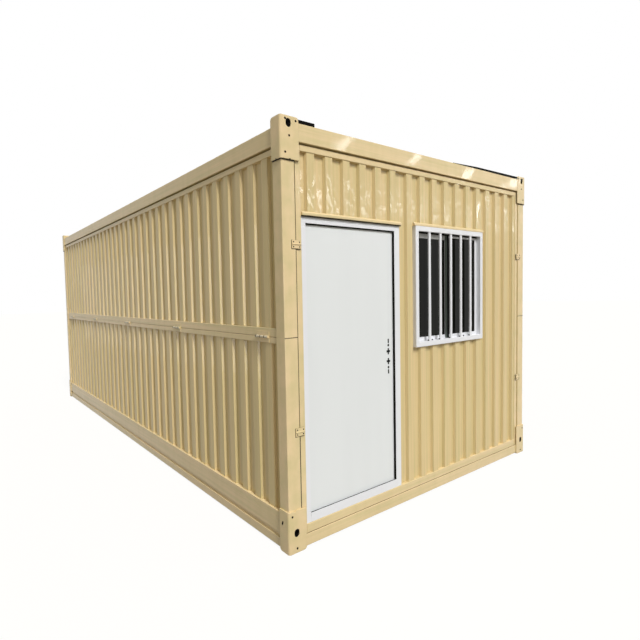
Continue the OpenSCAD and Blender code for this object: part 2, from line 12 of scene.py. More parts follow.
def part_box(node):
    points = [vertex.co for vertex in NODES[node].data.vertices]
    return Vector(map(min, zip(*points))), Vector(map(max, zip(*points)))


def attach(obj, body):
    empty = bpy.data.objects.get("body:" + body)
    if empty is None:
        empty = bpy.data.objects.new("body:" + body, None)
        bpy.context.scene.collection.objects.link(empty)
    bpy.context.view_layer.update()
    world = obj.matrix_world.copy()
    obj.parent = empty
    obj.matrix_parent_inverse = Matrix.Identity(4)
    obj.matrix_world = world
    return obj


bl_info = {
    "name": "Folding container house",
    "version": (1, 0, 0),
    "blender": (4, 5, 0),
    "location": "View3D > Sidebar > House",
    "description": "Paints the house and adds its window bars, welds, seals and inner trim",
    "category": "Object",
}

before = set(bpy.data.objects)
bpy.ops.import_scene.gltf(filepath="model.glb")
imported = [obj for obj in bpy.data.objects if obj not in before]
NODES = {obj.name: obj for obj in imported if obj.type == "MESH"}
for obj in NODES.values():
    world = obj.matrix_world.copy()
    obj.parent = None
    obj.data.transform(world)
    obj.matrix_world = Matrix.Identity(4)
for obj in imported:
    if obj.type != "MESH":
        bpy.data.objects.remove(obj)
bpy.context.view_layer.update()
MM = 0.001
SIDES = (-1, 1)
# Each corner as its side, left or right, and its end, front or rear
CORNERS = [(side, end) for side in SIDES for end in SIDES]
HALF_WIDTH, HALF_LENGTH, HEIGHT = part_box("top_corner_fittings")[1]

# The nodes that carry each material
FINISHES = {
    "Cream gloss enamel": (
        "bottom_corner_fittings", "top_corner_fittings", "lower_posts", "upper_posts", "left_fold_hinges",
        "right_fold_hinges", "end_wall_stiles", "wall_latches", "roof_sheet"),
    "Cream beam enamel": (
        "bottom_side_beams", "bottom_end_beams", "top_side_beams", "top_end_beams", "left_lower_rails",
        "left_upper_rails", "right_lower_rails", "right_upper_rails", "end_wall_rails", "drip_caps"),
    "Cream sheet enamel": (
        "left_lower_sheet", "left_upper_sheet", "right_lower_sheet", "right_upper_sheet",
        "front_sheet_over_door", "front_sheet_beside_door", "rear_sheet"),
    "Coated lining board": (
        "ceiling_panel", "left_lower_lining", "left_upper_lining", "right_lower_lining",
        "right_upper_lining", "front_lining_over_door", "front_lining_beside_door", "rear_lining"),
    "White powder coat": ("door_frame", "window_frame", "window_sashes"),
    "Door powder coat": ("door_leaf",),
    "Black seal rubber": ("roof_edge_seals", "door_gasket"),
    "Zinc plated steel": ("door_frame_hinges", "door_leaf_hinges"),
    "Tinted float glass": ("window_glass",),
    "Floor plywood": ("floor_panel",),
    "Joist primer and painted shade": ("floor_joists",),
}
# Nodes with folded or rolled edges, and the radius of the fold in millimetres
FOLDED_EDGES = {
    "left_lower_rails": 1.5, "left_upper_rails": 3, "right_lower_rails": 1.5, "right_upper_rails": 3,
    "end_wall_rails": 3, "end_wall_stiles": 3, "bottom_side_beams": 2, "bottom_end_beams": 2,
    "top_side_beams": 2, "top_end_beams": 2, "window_frame": 2, "window_sashes": 2, "door_frame": 2,
    "door_leaf": 2, "drip_caps": 1.5, "roof_edge_seals": 3,
}


def linear(hex_colour):
    """An sRGB hex colour as linear red, green and blue."""
    parts = [int(hex_colour[i:i + 2], 16) / 255 for i in (1, 3, 5)]
    return tuple(p / 12.92 if p <= 0.04045 else ((p + 0.055) / 1.055) ** 2.4 for p in parts)


def rgba(colour, factor=1.0):
    """A colour, made darker or lighter by a factor, as the four numbers that a socket takes."""
    return (*(part * factor for part in colour), 1.0)


def set_inputs(tree, node, inputs):
    """Sets a node's inputs, and links those whose value is a socket."""
    for key, value in inputs.items():
        if isinstance(value, bpy.types.NodeSocket):
            tree.links.new(value, node.inputs[key])
        else:
            node.inputs[key].default_value = value


def add_node(tree, kind, inputs=None, **settings):
    """Adds a node, sets its options, and sets or links its inputs."""
    node = tree.nodes.new(kind)
    for key, value in settings.items():
        setattr(node, key, value)
    set_inputs(tree, node, inputs or {})
    return node


def bare_material(name):
    """A material whose node tree is empty."""
    material = bpy.data.materials.new(name)
    material.use_nodes = True
    material.node_tree.nodes.clear()
    return material


def new_material(name):
    """A material's node tree, its shader and its object coordinates in metres."""
    tree = bare_material(name).node_tree
    shader = add_node(tree, "ShaderNodeBsdfPrincipled")
    add_node(tree, "ShaderNodeOutputMaterial", {"Surface": shader.outputs["BSDF"]})
    coords = add_node(tree, "ShaderNodeTexCoord").outputs["Object"]
    return tree, shader, coords


def per_metre(millimetres):
    """The noise scale whose lumps are about this wide."""
    return 1000.0 / millimetres


class HousePaint(bpy.types.PropertyGroup):
    """Colours of the house's paints and boards."""

    cream: FloatVectorProperty(
        name="Cream", description="Gloss enamel on the steelwork", subtype="COLOR", size=3,
        default=linear("#E3CD9F"))
    sheet: FloatVectorProperty(
        name="Sheet cream", description="Gloss enamel on the corrugated sheets", subtype="COLOR", size=3,
        default=linear("#D9C390"))
    white: FloatVectorProperty(
        name="White", description="Powder coat on the door and window frames", subtype="COLOR", size=3,
        default=linear("#E5E6EA"))
    door: FloatVectorProperty(
        name="Door", description="Powder coat on the door leaf", subtype="COLOR", size=3,
        default=linear("#E2E5E6"))
    lining: FloatVectorProperty(
        name="Lining", description="Coated inner wall board", subtype="COLOR", size=3,
        default=linear("#DEDCD5"))
    base: FloatVectorProperty(
        name="Base", description="Primer on the floor joists", subtype="COLOR", size=3,
        default=linear("#4A4744"))


class HouseSizes(bpy.types.PropertyGroup):
    """Sizes of the pieces that are added to the steelwork."""

    bar_count: IntProperty(name="Window bars", description="Upright bars in the window", default=5, min=2)
    bar_width: FloatProperty(
        name="Bar width", description="Width of a flat window bar", default=25 * MM, unit="LENGTH")
    bar_depth: FloatProperty(
        name="Bar depth", description="Depth of a flat window bar", default=11 * MM, unit="LENGTH")
    bar_setback: FloatProperty(
        name="Bar setback", description="Distance of the bars behind the window frame's front",
        default=4 * MM, unit="LENGTH")
    plug_radius: FloatProperty(
        name="Plug radius", description="Radius of a drain plug on the window's sill",
        default=4.5 * MM, unit="LENGTH")
    threshold: FloatProperty(
        name="Threshold", description="Height of the threshold's cover plate over the frame's foot",
        default=62 * MM, unit="LENGTH")
    weld_radius: FloatProperty(
        name="Weld radius", description="Radius of the weld beads at the fittings",
        default=3.5 * MM, unit="LENGTH")
    skirting: FloatProperty(
        name="Skirting", description="Height of the inner skirting", default=70 * MM, unit="LENGTH")
    panel_width: FloatProperty(
        name="Inner panels", description="Spacing of the joints in the inner walls", default=1.18,
        unit="LENGTH")


def add_object(name, bm, material):
    """Turns a bmesh into an object with a material."""
    mesh = bpy.data.meshes.new(name)
    bm.to_mesh(mesh)
    bm.free()
    mesh.materials.append(material)
    made = bpy.data.objects.new(name, mesh)
    bpy.context.scene.collection.objects.link(made)
    return made


def new_piece(name, bm, material, body="house"):
    """Turns a bmesh into a piece that rides on a body and takes its finish from a slot."""
    bmesh.ops.recalc_face_normals(bm, faces=bm.faces)
    piece = add_object(name, bm, bpy.data.materials[material])
    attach(piece, body)


def add_block(bm, low, high, bevel):
    """A block between two corners with its edges rounded."""
    low, high = Vector(low), Vector(high)
    place = Matrix.Translation((low + high) / 2) @ Matrix.Diagonal((*(high - low), 1))
    verts = bmesh.ops.create_cube(bm, size=1, matrix=place)["verts"]
    edges = {edge for vert in verts for edge in vert.link_edges}
    bmesh.ops.bevel(bm, geom=list(edges), offset=bevel, offset_type="OFFSET", affect="EDGES",
                    segments=2, profile=0.5, material=-1, clamp_overlap=True)


def add_rod(bm, start, end, radius, segments=12):
    """A round bar from one point to another."""
    start, end = Vector(start), Vector(end)
    along = end - start
    turn = along.to_track_quat("Z", "Y").to_matrix().to_4x4()
    bmesh.ops.create_cone(bm, cap_ends=True, segments=segments, radius1=radius, radius2=radius,
                          depth=along.length, matrix=Matrix.Translation((start + end) / 2) @ turn)


def add_screw(bm, place, outward, radius):
    """A low conical screw head with a sunk round socket, standing on a surface."""
    outward = Vector(outward).normalized()
    height = radius * 0.55
    turn = outward.to_track_quat("Z", "Y").to_matrix().to_4x4()
    middle = Vector(place) + outward * (height / 2 - 0.1 * MM)
    made = bmesh.ops.create_cone(bm, cap_ends=True, segments=14, radius1=radius, radius2=radius * 0.72,
                                 depth=height, matrix=Matrix.Translation(middle) @ turn)
    faces = {face for vert in made["verts"] for face in vert.link_faces}
    top = max(faces, key=lambda face: face.calc_center_median().dot(outward))
    bmesh.ops.inset_individual(bm, faces=[top], thickness=radius * 0.34, depth=0)
    bmesh.ops.translate(bm, verts=top.verts, vec=outward * -height * 0.5)


class HOUSE_OT_materials(bpy.types.Operator):
    """Makes the paints, boards, rubber, glass, plated steel and sealants, and the paints that stand for
    shade and highlight
    """

    bl_idname = "house.materials"
    bl_label = "Make materials"

    def execute(self, context):
        paint = context.scene.house_paint
        self.cream_enamel("Cream gloss enamel", paint.cream, wave_mm=300, coat_roughness=0.14,
                          streak_stretch=(0.2, 0.2, 0.2))
        self.cream_enamel("Cream beam enamel", paint.cream, wave_mm=300, coat_roughness=0.06,
                          streak_stretch=(0.02, 0.02, 1.0))
        self.cream_enamel("Cream sheet enamel", paint.sheet, wave_mm=130, coat_roughness=0.02,
                          streak_stretch=(1.0, 1.0, 0.02))
        self.powder_coat("White powder coat", paint.white, roughness=0.34)
        self.powder_coat("Door powder coat", paint.door, roughness=0.42)
        self.rubber()
        self.glass()
        self.plywood()
        self.lining_board(paint.lining)
        # Plated hinges are bright and the only bare metal
        self.mottled("Zinc plated steel", linear("#B9B9B4"), roughness=0.34, metallic=1.0)
        # Primer is brushed on thin and stays dull, on the joists. The same dark paint makes the drain plugs
        # on the window's sill and the painted shadow at the foot of each window bar
        self.mottled("Joist primer and painted shade", paint.base, roughness=0.65)
        # The lock's case and the bolt heads are blackened; the same dark makes the painted shade between
        # the fold hinges' sleeves
        self.mottled("Dark steel and painted shade", linear("#0B0A0A"), roughness=0.6)
        # Sleeves of the fold hinges are paler than the cream: a painted highlight on the knuckles
        self.mottled("Pale hinge highlight paint", linear("#DCD2B8"), roughness=0.4)
        # The grey on the window's meeting stile is painted shade, and matt
        self.mottled("Grey painted stile shade", linear("#667068"), roughness=0.8)
        # Sealants gather dirt in patches. The brown one is painted shade in gaps and joints, and the dark
        # one is painted shade everywhere but in the posts' joints
        self.mottled("Brown painted shade", linear("#6A5834"), roughness=0.6)
        self.mottled("Cream sealant", linear("#CDB681"), roughness=0.6)
        self.mottled("Dark sealant and painted shade", linear("#2B2214"), roughness=0.6)
        return {"FINISHED"}

    def cream_enamel(self, name, colour, wave_mm, coat_roughness, streak_stretch):
        # Alkyd enamel sprayed on pressed steel sheet: a clean gloss coat over slightly wavy metal. The eye
        # sees wobbling pale reflections, faint bands of tone down the wall and a little dust at the foot.
        tree, shader, coords = new_material(name)
        broad = add_node(tree, "ShaderNodeTexNoise", {
            "Vector": coords, "Scale": per_metre(900), "Detail": 2.0})
        tint = add_node(tree, "ShaderNodeMix", {
            "Factor": broad.outputs["Fac"], "A": rgba(colour, 0.94), "B": rgba(colour, 1.04)},
            data_type="RGBA")
        # Spray bands are about 70 mm wide and over 2 m long
        band_place = add_node(tree, "ShaderNodeMapping", {"Vector": coords, "Scale": (1.0, 1.0, 0.03)})
        bands = add_node(tree, "ShaderNodeTexNoise", {
            "Vector": band_place.outputs["Vector"], "Scale": per_metre(70), "Detail": 1.0})
        band_amount = add_node(tree, "ShaderNodeMapRange", {
            "Value": bands.outputs["Fac"], "From Min": 0.4, "From Max": 0.75, "To Max": 0.3})
        banded = add_node(tree, "ShaderNodeMix", {
            "Factor": band_amount.outputs["Result"], "A": tint.outputs["Result"],
            "B": rgba(linear("#D2C08C"))}, data_type="RGBA")
        # Streaks lean to green or to pink, as painted reflections in the gloss. They are about 22 mm wide
        # along a sheet or a beam, and spread out to clouds of about 110 mm on the fittings and posts
        streak_place = add_node(tree, "ShaderNodeMapping", {"Vector": coords, "Scale": streak_stretch})
        streaks = add_node(tree, "ShaderNodeTexNoise", {
            "Vector": streak_place.outputs["Vector"], "Scale": per_metre(22), "Detail": 2.0})
        streak_tone = add_node(tree, "ShaderNodeMapRange", {
            "Value": streaks.outputs["Fac"], "From Min": 0.3, "From Max": 0.7})
        streak_tint = add_node(tree, "ShaderNodeMix", {
            "Factor": streak_tone.outputs["Result"], "A": rgba((0.91, 0.94, 0.88)),
            "B": rgba((1.07, 1.04, 1.07))}, data_type="RGBA")
        streaked = add_node(tree, "ShaderNodeMix", {
            "Factor": 1.0, "A": banded.outputs["Result"], "B": streak_tint.outputs["Result"]},
            data_type="RGBA", blend_type="MULTIPLY")
        # Dust fades out over the lowest 350 mm, in clouds about 120 mm wide
        height = add_node(tree, "ShaderNodeSeparateXYZ", {"Vector": coords})
        low = add_node(tree, "ShaderNodeMapRange", {
            "Value": height.outputs["Z"], "From Min": 0.0, "From Max": 0.35, "To Min": 0.3, "To Max": 0.0})
        clouds = add_node(tree, "ShaderNodeTexNoise", {
            "Vector": coords, "Scale": per_metre(120), "Detail": 3.0})
        dust = add_node(tree, "ShaderNodeMath", {
            0: low.outputs["Result"], 1: clouds.outputs["Fac"]}, operation="MULTIPLY")
        dusty = add_node(tree, "ShaderNodeMix", {
            "Factor": dust.outputs["Value"], "A": streaked.outputs["Result"],
            "B": rgba(linear("#B39F74"))}, data_type="RGBA")
        rough = add_node(tree, "ShaderNodeMapRange", {
            "Value": clouds.outputs["Fac"], "To Min": 0.34, "To Max": 0.46})
        # Bends are rounded by 4 mm
        bends = add_node(tree, "ShaderNodeBevel", {"Radius": 4 * MM}, samples=4)
        # The clear surface follows the oil-canning of the steel, in lumps nearly twice as high as wide
        wave_place = add_node(tree, "ShaderNodeMapping", {"Vector": coords, "Scale": (1.0, 1.0, 0.55)})
        waves = add_node(tree, "ShaderNodeTexNoise", {
            "Vector": wave_place.outputs["Vector"], "Scale": per_metre(wave_mm), "Detail": 1.5})
        bump = add_node(tree, "ShaderNodeBump", {
            "Strength": 0.6, "Distance": wave_mm * 0.018 * MM, "Height": waves.outputs["Fac"],
            "Normal": bends.outputs["Normal"]})
        set_inputs(tree, shader, {
            "Base Color": dusty.outputs["Result"], "Roughness": rough.outputs["Result"],
            "Normal": bends.outputs["Normal"], "Coat Normal": bump.outputs["Normal"], "IOR": 1.45,
            "Coat Weight": 0.3, "Coat Roughness": coat_roughness, "Specular IOR Level": 0.2})

    def powder_coat(self, name, colour, roughness):
        # Polyester powder baked on steel: an even satin coat with a fine grain and faint handling marks.
        tree, shader, coords = new_material(name)
        # Marks are about 130 mm wide and 1 m high
        marks_place = add_node(tree, "ShaderNodeMapping", {"Vector": coords, "Scale": (1.0, 1.0, 0.12)})
        marks = add_node(tree, "ShaderNodeTexNoise", {
            "Vector": marks_place.outputs["Vector"], "Scale": per_metre(130), "Detail": 4.0})
        amount = add_node(tree, "ShaderNodeMapRange", {
            "Value": marks.outputs["Fac"], "From Min": 0.4, "From Max": 0.85, "To Max": 0.18})
        tint = add_node(tree, "ShaderNodeMix", {
            "Factor": amount.outputs["Result"], "A": rgba(colour), "B": rgba(colour, 0.86)},
            data_type="RGBA")
        # The grain of about 1 mm is drawn at 5 mm so that it shows
        grain = add_node(tree, "ShaderNodeTexNoise", {
            "Vector": coords, "Scale": per_metre(5), "Detail": 2.0})
        rough = add_node(tree, "ShaderNodeMapRange", {
            "Value": grain.outputs["Fac"], "To Min": roughness - 0.06, "To Max": roughness + 0.08})
        bump = add_node(tree, "ShaderNodeBump", {
            "Strength": 0.1, "Distance": 0.3 * MM, "Height": grain.outputs["Fac"]})
        set_inputs(tree, shader, {
            "Base Color": tint.outputs["Result"], "Roughness": rough.outputs["Result"],
            "Normal": bump.outputs["Normal"], "IOR": 1.5})

    def rubber(self):
        # Extruded EPDM: soft black with a dull sheen and a dusty bloom in patches about 30 mm wide.
        tree, shader, coords = new_material("Black seal rubber")
        bloom = add_node(tree, "ShaderNodeTexNoise", {
            "Vector": coords, "Scale": per_metre(30), "Detail": 5.0})
        tint = add_node(tree, "ShaderNodeMix", {
            "Factor": bloom.outputs["Fac"], "A": rgba(linear("#050505")), "B": rgba(linear("#171614"))},
            data_type="RGBA")
        bump = add_node(tree, "ShaderNodeBump", {
            "Strength": 0.2, "Distance": 0.4 * MM, "Height": bloom.outputs["Fac"]})
        set_inputs(tree, shader, {
            "Base Color": tint.outputs["Result"], "Normal": bump.outputs["Normal"], "Roughness": 0.75,
            "Specular IOR Level": 0.03})

    def glass(self):
        # Grey tinted float glass: nearly black from outside by day, with a faint film of dust in clouds
        # about 160 mm wide.
        tree, shader, coords = new_material("Tinted float glass")
        film = add_node(tree, "ShaderNodeTexNoise", {
            "Vector": coords, "Scale": per_metre(160), "Detail": 4.0})
        rough = add_node(tree, "ShaderNodeMapRange", {
            "Value": film.outputs["Fac"], "To Min": 0.02, "To Max": 0.12})
        tint = add_node(tree, "ShaderNodeMix", {
            "Factor": film.outputs["Fac"], "A": rgba(linear("#070806")), "B": rgba(linear("#12110C"))},
            data_type="RGBA")
        set_inputs(tree, shader, {
            "Base Color": tint.outputs["Result"], "Roughness": rough.outputs["Result"], "IOR": 1.5,
            "Transmission Weight": 0.15, "Specular IOR Level": 0.1, "Specular Tint": (0.2, 0.2, 0.16, 1)})

    def plywood(self):
        # Film-faced plywood floor: brown phenolic film with grain about 14 mm wide showing through, and
        # scuffs about 240 mm wide.
        tree, shader, coords = new_material("Floor plywood")
        grain_place = add_node(tree, "ShaderNodeMapping", {"Vector": coords, "Scale": (1.0, 0.06, 1.0)})
        grain = add_node(tree, "ShaderNodeTexNoise", {
            "Vector": grain_place.outputs["Vector"], "Scale": per_metre(14), "Detail": 6.0})
        scuffs = add_node(tree, "ShaderNodeTexNoise", {
            "Vector": coords, "Scale": per_metre(240), "Detail": 6.0})
        tint = add_node(tree, "ShaderNodeMix", {
            "Factor": grain.outputs["Fac"], "A": rgba(linear("#5E3F28")), "B": rgba(linear("#8A6644"))},
            data_type="RGBA")
        rough = add_node(tree, "ShaderNodeMapRange", {
            "Value": scuffs.outputs["Fac"], "To Min": 0.3, "To Max": 0.6})
        bump = add_node(tree, "ShaderNodeBump", {
            "Strength": 0.15, "Distance": 0.5 * MM, "Height": grain.outputs["Fac"]})
        set_inputs(tree, shader, {
            "Base Color": tint.outputs["Result"], "Roughness": rough.outputs["Result"],
            "Normal": bump.outputs["Normal"]})

    def lining_board(self, colour):
        # Coated insulated board: off-white with a fine stucco embossing.
        tree, shader, coords = new_material("Coated lining board")
        cloud = add_node(tree, "ShaderNodeTexNoise", {
            "Vector": coords, "Scale": per_metre(700), "Detail": 3.0})
        tint = add_node(tree, "ShaderNodeMix", {
            "Factor": cloud.outputs["Fac"], "A": rgba(colour), "B": rgba(colour, 0.9)}, data_type="RGBA")
        # Stucco dimples of 3 mm, drawn at 8 mm so that they show
        dimples = add_node(tree, "ShaderNodeTexVoronoi", {"Vector": coords, "Scale": per_metre(8)})
        bump = add_node(tree, "ShaderNodeBump", {
            "Strength": 0.15, "Distance": 0.5 * MM, "Height": dimples.outputs["Distance"]})
        set_inputs(tree, shader, {
            "Base Color": tint.outputs["Result"], "Normal": bump.outputs["Normal"], "Roughness": 0.5})

    def mottled(self, name, colour, roughness, metallic=0.0):
        # Small hardware and seals: an uneven tone in patches about 25 mm wide, duller where it is darker.
        tree, shader, coords = new_material(name)
        mottle = add_node(tree, "ShaderNodeTexNoise", {
            "Vector": coords, "Scale": per_metre(25), "Detail": 5.0})
        tint = add_node(tree, "ShaderNodeMix", {
            "Factor": mottle.outputs["Fac"], "A": rgba(colour), "B": rgba(colour, 0.7)}, data_type="RGBA")
        rough = add_node(tree, "ShaderNodeMapRange", {
            "Value": mottle.outputs["Fac"], "To Min": roughness - 0.08, "To Max": roughness + 0.1})
        set_inputs(tree, shader, {
            "Base Color": tint.outputs["Result"], "Roughness": rough.outputs["Result"],
            "Metallic": metallic, "Specular IOR Level": 0.2})


class HOUSE_OT_finish_nodes(bpy.types.Operator):
    """Paints the steelwork, boards, door and window, and rounds their folded edges"""

    bl_idname = "house.finish_nodes"
    bl_label = "Finish the house"

    def execute(self, context):
        for material, names in FINISHES.items():
            for name in names:
                data = NODES[name].data
                data.materials.clear()
                data.materials.append(bpy.data.materials[material])
        for name, radius in FOLDED_EDGES.items():
            self.round_edges(NODES[name], radius * MM)
        return {"FINISHED"}

    def round_edges(self, node, radius):
        weld = node.modifiers.new("Join faces", "WELD")
        weld.merge_threshold = 0.01 * MM
        flat = node.modifiers.new("Flat faces", "DECIMATE")
        flat.decimate_type = "DISSOLVE"
        flat.angle_limit = math.radians(0.5)
        fold = node.modifiers.new("Folded edges", "BEVEL")
        fold.width = radius
        fold.segments = 2
        fold.limit_method = "ANGLE"
        fold.angle_limit = math.radians(40)
        fold.profile = 0.5


class HOUSE_OT_window_bars(bpy.types.Operator):
    """Adds the upright flat bars of the window, a painted shadow at the foot of each bar and the drain
    plugs
    """

    bl_idname = "house.window_bars"
    bl_label = "Add window bars"

    def execute(self, context):
        sizes = context.scene.house_sizes
        low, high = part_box("window_sashes")
        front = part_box("window_frame")[0].y + sizes.bar_setback
        back = front + sizes.bar_depth
        half = sizes.bar_width / 2
        pitch = (high.x - low.x) / (sizes.bar_count + 1)
        weld_radius = 2.5 * MM
        shadow_width = 7 * MM
        mark_top = low.z + 10 * MM
        # Places of the drain plugs, in bar spacings from the left
        plug_places = (1.3, 4.37)
        bars = bmesh.new()
        foot_shadows = bmesh.new()
        for i in range(sizes.bar_count):
            x = low.x + (i + 1) * pitch
            add_block(bars, (x - half, front, low.z), (x + half, back, high.z), 1.5 * MM)
            for side in SIDES:
                edge = x + side * half
                add_rod(bars, (edge, front + 2 * MM, high.z), (edge, back - 2 * MM, high.z), weld_radius)
            # A dark block at the left of each bar's foot is its painted shadow
            add_block(foot_shadows, (x - half - shadow_width, front + 2 * MM, low.z),
                      (x - half, back + 1 * MM, mark_top), 1.5 * MM)
        for place in plug_places:
            x, y = low.x + pitch * place, front + half
            add_rod(foot_shadows, (x, y, low.z), (x, y, mark_top), sizes.plug_radius, 16)
        new_piece("window_bars", bars, "White powder coat")
        new_piece("window_bar_shadows_and_plugs", foot_shadows, "Joist primer and painted shade")
        return {"FINISHED"}


class HOUSE_OT_window_fittings(bpy.types.Operator):
    """Adds the glazing rubbers and the top bead of the sashes, and painted shade under the frame's head and
    on the meeting stile
    """

    bl_idname = "house.window_fittings"
    bl_label = "Add window fittings"

    def execute(self, context):
        low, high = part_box("window_sashes")
        glass_low, glass_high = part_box("window_glass")
        face = glass_low.z - low.z
        glass_depth = glass_low.y - low.y
        track_gap = 2 * MM
        width = (high.x - low.x + face) / 2
        sash_depth = (high.y - low.y - track_gap) / 2
        lap = 3 * MM
        lip = 1.2 * MM
        bead_height = 16 * MM
        head_shade_height = 12 * MM
        soft = 0.6 * MM
        sharp = 0.4 * MM
        # Left edge of the glass and front of the sash, for the left sash behind and the right one before it
        tracks = ((glass_low.x, high.y - sash_depth), (high.x - width + face, low.y))
        rubbers = bmesh.new()
        for left, front in tracks:
            right = left + width - 2 * face
            back = front + glass_depth - 0.2 * MM
            near = back - 2 * MM
            add_block(rubbers, (left, near, glass_low.z), (left + lap, back, glass_high.z), soft)
            add_block(rubbers, (right - lap, near, glass_low.z), (right, back, glass_high.z), soft)
            add_block(rubbers, (left, near, glass_low.z), (right, back, glass_low.z + lap), soft)
            add_block(rubbers, (left, near, glass_high.z - lap), (right, back, glass_high.z), soft)
        # Painted shade on the right sash's inner stile: a grey sheet on its side and a black strip on its
        # front
        meeting = high.x - width
        add_block(rubbers, (meeting, low.y - lip, low.z), (meeting + face, low.y, high.z), sharp)
        # A black strip under the frame's head is painted shade
        add_block(rubbers, (low.x, low.y - 8 * MM, high.z - head_shade_height),
                  (high.x, low.y - 1.3 * MM, high.z), soft)
        new_piece("glazing_rubbers", rubbers, "Black seal rubber")
        seal = bmesh.new()
        add_block(seal, (meeting - lip, low.y - lip, low.z), (meeting, low.y + sash_depth, high.z), sharp)
        new_piece("meeting_stile_painted_shade", seal, "Grey painted stile shade")
        bead = bmesh.new()
        left, front = tracks[0]
        add_block(bead, (left, front + 1 * MM, glass_high.z - bead_height),
                  (left + width - 2 * face, front + glass_depth, glass_high.z), 1 * MM)
        new_piece("top_glazing_bead", bead, "White powder coat")
        return {"FINISHED"}


class HOUSE_OT_lock_inserts(bpy.types.Operator):
    """Fills the lock's holes with the dark lock case that shows in them"""

    bl_idname = "house.lock_inserts"
    bl_label = "Add lock inserts"

    def execute(self, context):
        low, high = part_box("door_leaf")
        # The lock's middle, by its distance from the leaf's free edge and its height over the ground
        lock_inset = 75 * MM
        middle = 1144 * MM
        x = high.x - lock_inset
        front = low.y + 1 * MM
        back = low.y + 20 * MM
        # A slot, a round hole and a cross lie above the middle, and again below it
        slot_rise = 112.5 * MM
        dot_rise = 81.5 * MM
        cross_rise = 36.5 * MM
        case = bmesh.new()
        for side in SIDES:
            self.case_block(case, (x, middle + side * slot_rise), (7.3 * MM, 15.8 * MM), (front, back))
            dot_z = middle + side * dot_rise
            add_rod(case, (x, front, dot_z), (x, back, dot_z), 9.8 * MM, 24)
            cross = (x, middle + side * cross_rise)
            self.case_block(case, cross, (7.8 * MM, 22.8 * MM), (front, back))
            self.case_block(case, cross, (19.8 * MM, 7.8 * MM), (front + 0.3 * MM, back - 0.3 * MM))
        new_piece("lock_inserts", case, "Dark steel and painted shade", body="door")
        return {"FINISHED"}

    def case_block(self, case, place, half, depth):
        """A block of the case by its middle, its half width and half height, and its front and back."""
        add_block(case, (place[0] - half[0], depth[0], place[1] - half[1]),
                  (place[0] + half[0], depth[1], place[1] + half[1]), 0.8 * MM)


class HOUSE_OT_threshold(bpy.types.Operator):
    """Adds the cover plate on the door's threshold and the seal along its upper edge"""

    bl_idname = "house.threshold"
    bl_label = "Add threshold"

    def execute(self, context):
        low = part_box("door_frame")[0]
        gasket_low, gasket_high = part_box("door_gasket")
        # The gasket reaches this far behind the frame's jambs
        overlap = 11 * MM
        left = gasket_low.x + overlap
        right = gasket_high.x - overlap
        top = low.z + context.scene.house_sizes.threshold
        plate = bmesh.new()
        add_block(plate, (left, low.y - 2 * MM, low.z + 1 * MM), (right, low.y, top), 0.8 * MM)
        new_piece("threshold_plate", plate, "White powder coat")
        seal = bmesh.new()
        add_block(seal, (left, low.y - 1.4 * MM, top), (right, low.y + 3 * MM, top + 2.6 * MM), 0.5 * MM)
        new_piece("threshold_seal", seal, "Black seal rubber")
        return {"FINISHED"}


class HOUSE_OT_fitting_details(bpy.types.Operator):
    """Adds the rubber plugs in the fittings' small holes, the slot flaps and the weld beads"""

    bl_idname = "house.fitting_details"
    bl_label = "Add fitting details"

    def execute(self, context):
        top_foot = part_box("top_corner_fittings")[0].z
        bottom_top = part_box("bottom_corner_fittings")[1].z
        # Small holes in the end plates, by their distance in millimetres from the side and their height
        holes = (
            (121, HEIGHT - 22 * MM), (40, HEIGHT - 19 * MM), (69, HEIGHT - 115 * MM),
            (36, top_foot + 38 * MM), (30, bottom_top - 31 * MM), (65, 28 * MM),
        )
        self.plugs(holes, side_hole_z=bottom_top - 83 * MM)
        self.slot_flaps((127 * MM, HEIGHT - 41 * MM))
        self.weld_beads(context.scene.house_sizes.weld_radius)
        return {"FINISHED"}

    def plugs(self, holes, side_hole_z):
        plugs = bmesh.new()
        rim = 0.8 * MM
        side_hole_inset = 62 * MM
        for side, end in CORNERS:
            face = end * HALF_LENGTH
            for inset, z in holes:
                x = side * (HALF_WIDTH - inset * MM)
                add_rod(plugs, (x, face, z), (x, end * (HALF_LENGTH - 8.9 * MM), z), 5.9 * MM, 24)
                add_rod(plugs, (x, face + end * rim, z), (x, face - end * 0.1 * MM, z), 7 * MM, 24)
            # Three short plugs fill the slanting hole in the side plate
            x = side * HALF_WIDTH
            y = end * (HALF_LENGTH - side_hole_inset)
            for shift in (-7, 0, 7):
                place = (y + end * shift * 0.35 * MM, side_hole_z + shift * MM)
                add_rod(plugs, (x + side * rim, *place), (x - side * 3 * MM, *place), 6.2 * MM, 20)
        new_piece("fitting_plugs", plugs, "Black seal rubber")

    def slot_flaps(self, heights):
        flaps = bmesh.new()
        half_width = 19.7 * MM
        straight = 6 * MM
        slot_inset = 64 * MM
        for side, end in CORNERS:
            x = side * (HALF_WIDTH - slot_inset)
            near = end * (HALF_LENGTH - 2.5 * MM)
            far = end * (HALF_LENGTH - 5.5 * MM)
            for z in heights:
                for offset in (-straight, straight):
                    add_rod(flaps, (x, near, z + offset), (x, far, z + offset), half_width, 32)
                add_block(flaps, (x - half_width, min(near, far), z - straight),
                          (x + half_width, max(near, far), z + straight), 0.1 * MM)
        new_piece("slot_flaps", flaps, "Black seal rubber")

    def weld_beads(self, radius):
        beads = bmesh.new()
        foot = 21 * MM
        plate_edge = 143 * MM
        side_edge = 94 * MM
        setback = 9 * MM
        for side, end in CORNERS:
            x, y = side * (HALF_WIDTH - plate_edge), end * (HALF_LENGTH - setback)
            add_rod(beads, (x, y, foot), (x, y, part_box("bottom_end_beams")[1].z), radius)
            x, y = side * (HALF_WIDTH - setback), end * (HALF_LENGTH - side_edge)
            for beam in ("top_side_beams", "bottom_side_beams"):
                low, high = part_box(beam)
                add_rod(beads, (x, y, max(low.z, foot)), (x, y, high.z), radius)
        new_piece("weld_beads", beads, "Cream gloss enamel")


